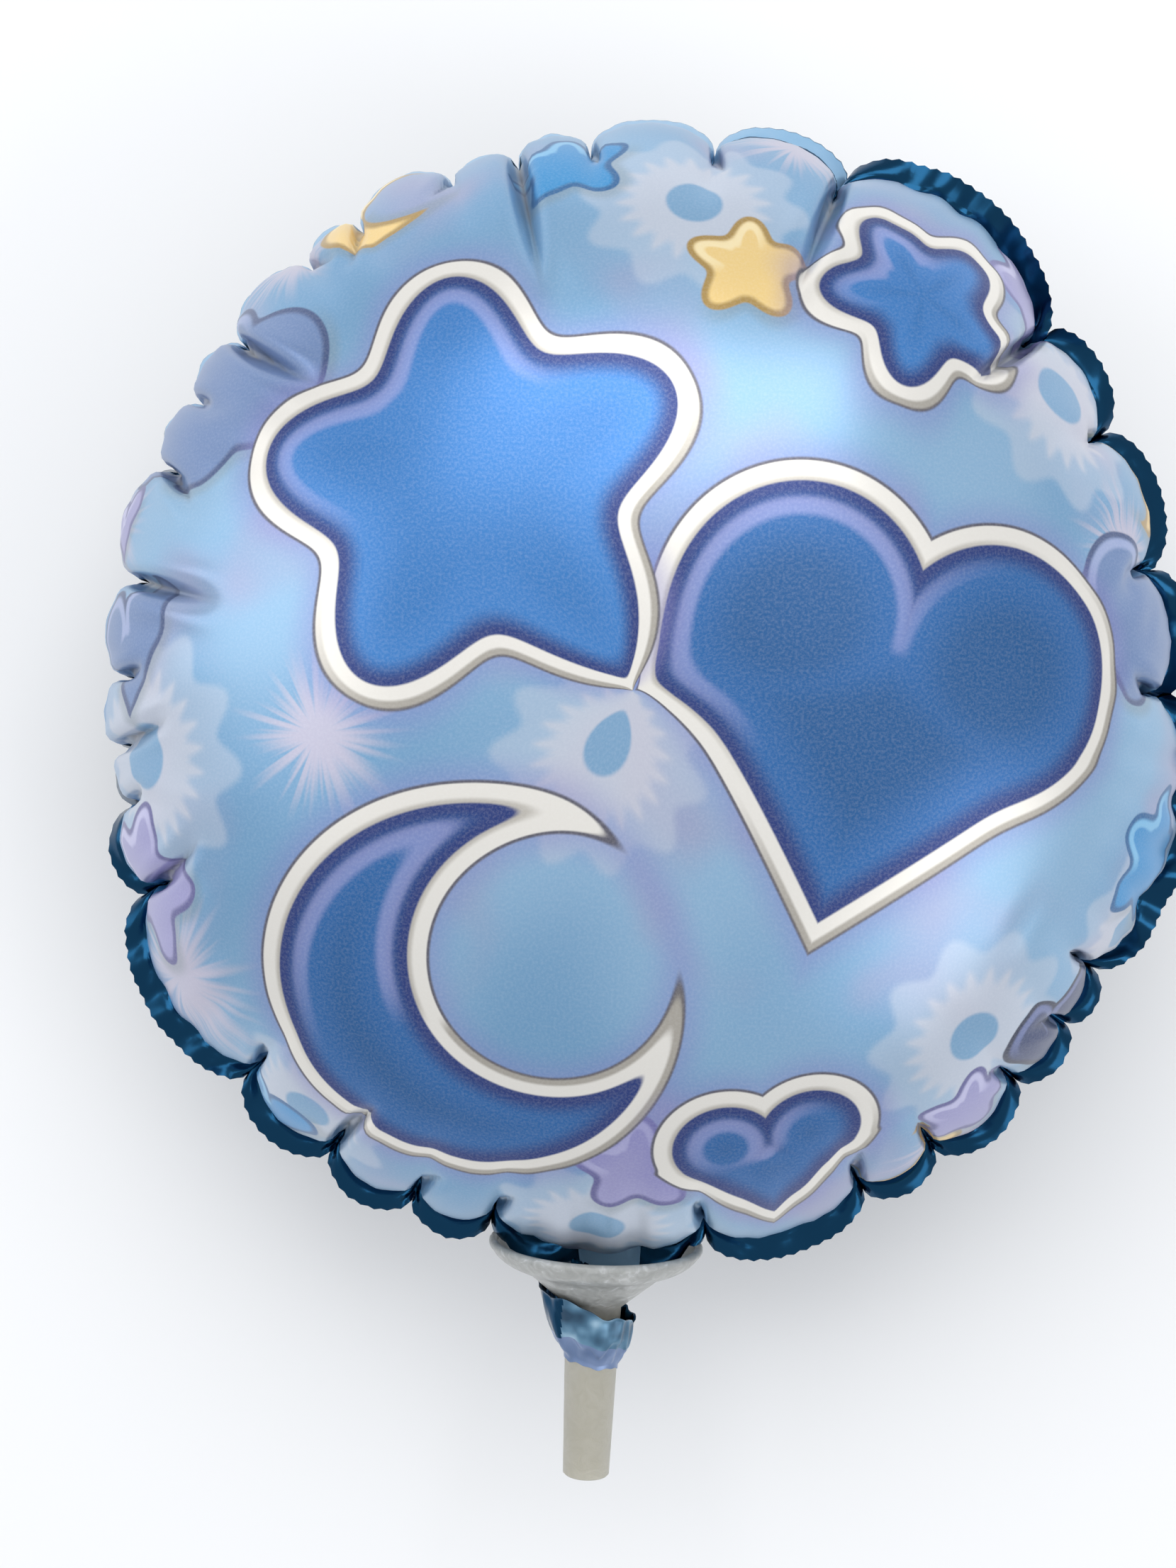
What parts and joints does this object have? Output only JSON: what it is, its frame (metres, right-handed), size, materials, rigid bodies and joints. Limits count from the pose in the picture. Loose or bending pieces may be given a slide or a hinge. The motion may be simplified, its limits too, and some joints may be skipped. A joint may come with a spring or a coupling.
{
  "type": "foil balloon on a cup",
  "caption": "Round air-filled foil balloon with a puckered seam, printed on one face, tied into a plastic cup with a hollow stem for a stick.",
  "frame": {"origin": "middle of the small flat spot at the balloon's back, which it lies on", "axes": "+Z along the balloon's axis towards the printed face, +Y from the cup's stem to the top of the balloon, +X to the right as seen from the front"},
  "size_m": [0.1733, 0.2158, 0.1],
  "materials": {
    "blue_foil": "metallised film, satin blue print on the front and bright blue metal on the back",
    "frosted_plastic": "translucent frosted off-white plastic"
  },
  "bodies": {
    "root": {"foil_balloon": "blue_foil", "cup": "frosted_plastic"}
  },
  "joints": []
}
